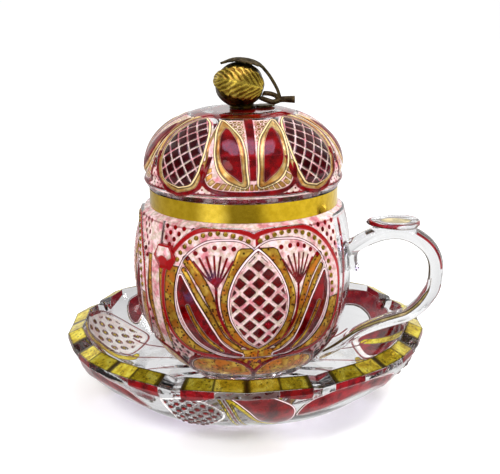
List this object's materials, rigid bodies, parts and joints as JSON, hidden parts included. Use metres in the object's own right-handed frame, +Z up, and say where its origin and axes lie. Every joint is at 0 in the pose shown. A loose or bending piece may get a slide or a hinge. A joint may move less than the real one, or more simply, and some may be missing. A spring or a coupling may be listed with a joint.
{
  "type": "covered glass cup with saucer stand",
  "caption": "Covered barrel-shaped glass cup with loop handle and domed lid with fruit knob, on a deep scalloped glass stand; ruby-cased cut glass with gilding.",
  "frame": {"origin": "centre of the underside of the stand, on the surface it rests on", "axes": "+Z up along the axis of stand, cup and lid; +X towards the handle; the cup is seen from -Y with the handle at the right"},
  "size_m": [0.1785, 0.17, 0.1586],
  "materials": {
    "dish_glass": "polished cut glass",
    "cased_glass": "polished cut glass with ruby casing",
    "lid_glass": "polished cut glass with ruby casing",
    "clear_glass": "fire polished",
    "ruby_casing": "polished",
    "gilding": "burnished gilding on glass",
    "enamel": "fired enamel",
    "gilt_bronze": "worn gilding on cast bronze",
    "bright_gilt": "bright gilding",
    "dark_bronze": "patinated",
    "plain_brass": "turned"
  },
  "bodies": {
    "stand": {"saucer": "dish_glass"},
    "cup": {"bowl": "cased_glass", "handle": "clear_glass"},
    "cover": {"lid": "lid_glass", "finial_base_leaf": "dark_bronze", "finial_fruit": "gilt_bronze", "finial_front_leaf": "bright_gilt", "finial_top_leaf": "dark_bronze", "finial_twig": "dark_bronze", "finial_stud": "plain_brass", "finial_washer": "plain_brass", "finial_nut": "plain_brass"}
  },
  "joints": [
    {"name": "cup_lift", "type": "slide", "parent": "stand", "child": "cup", "axis": [0, 0, 1], "range_m": [0, 0.06]},
    {"name": "lid_lift", "type": "slide", "parent": "cup", "child": "cover", "axis": [0, 0, 1], "range_m": [0, 0.06]}
  ]
}
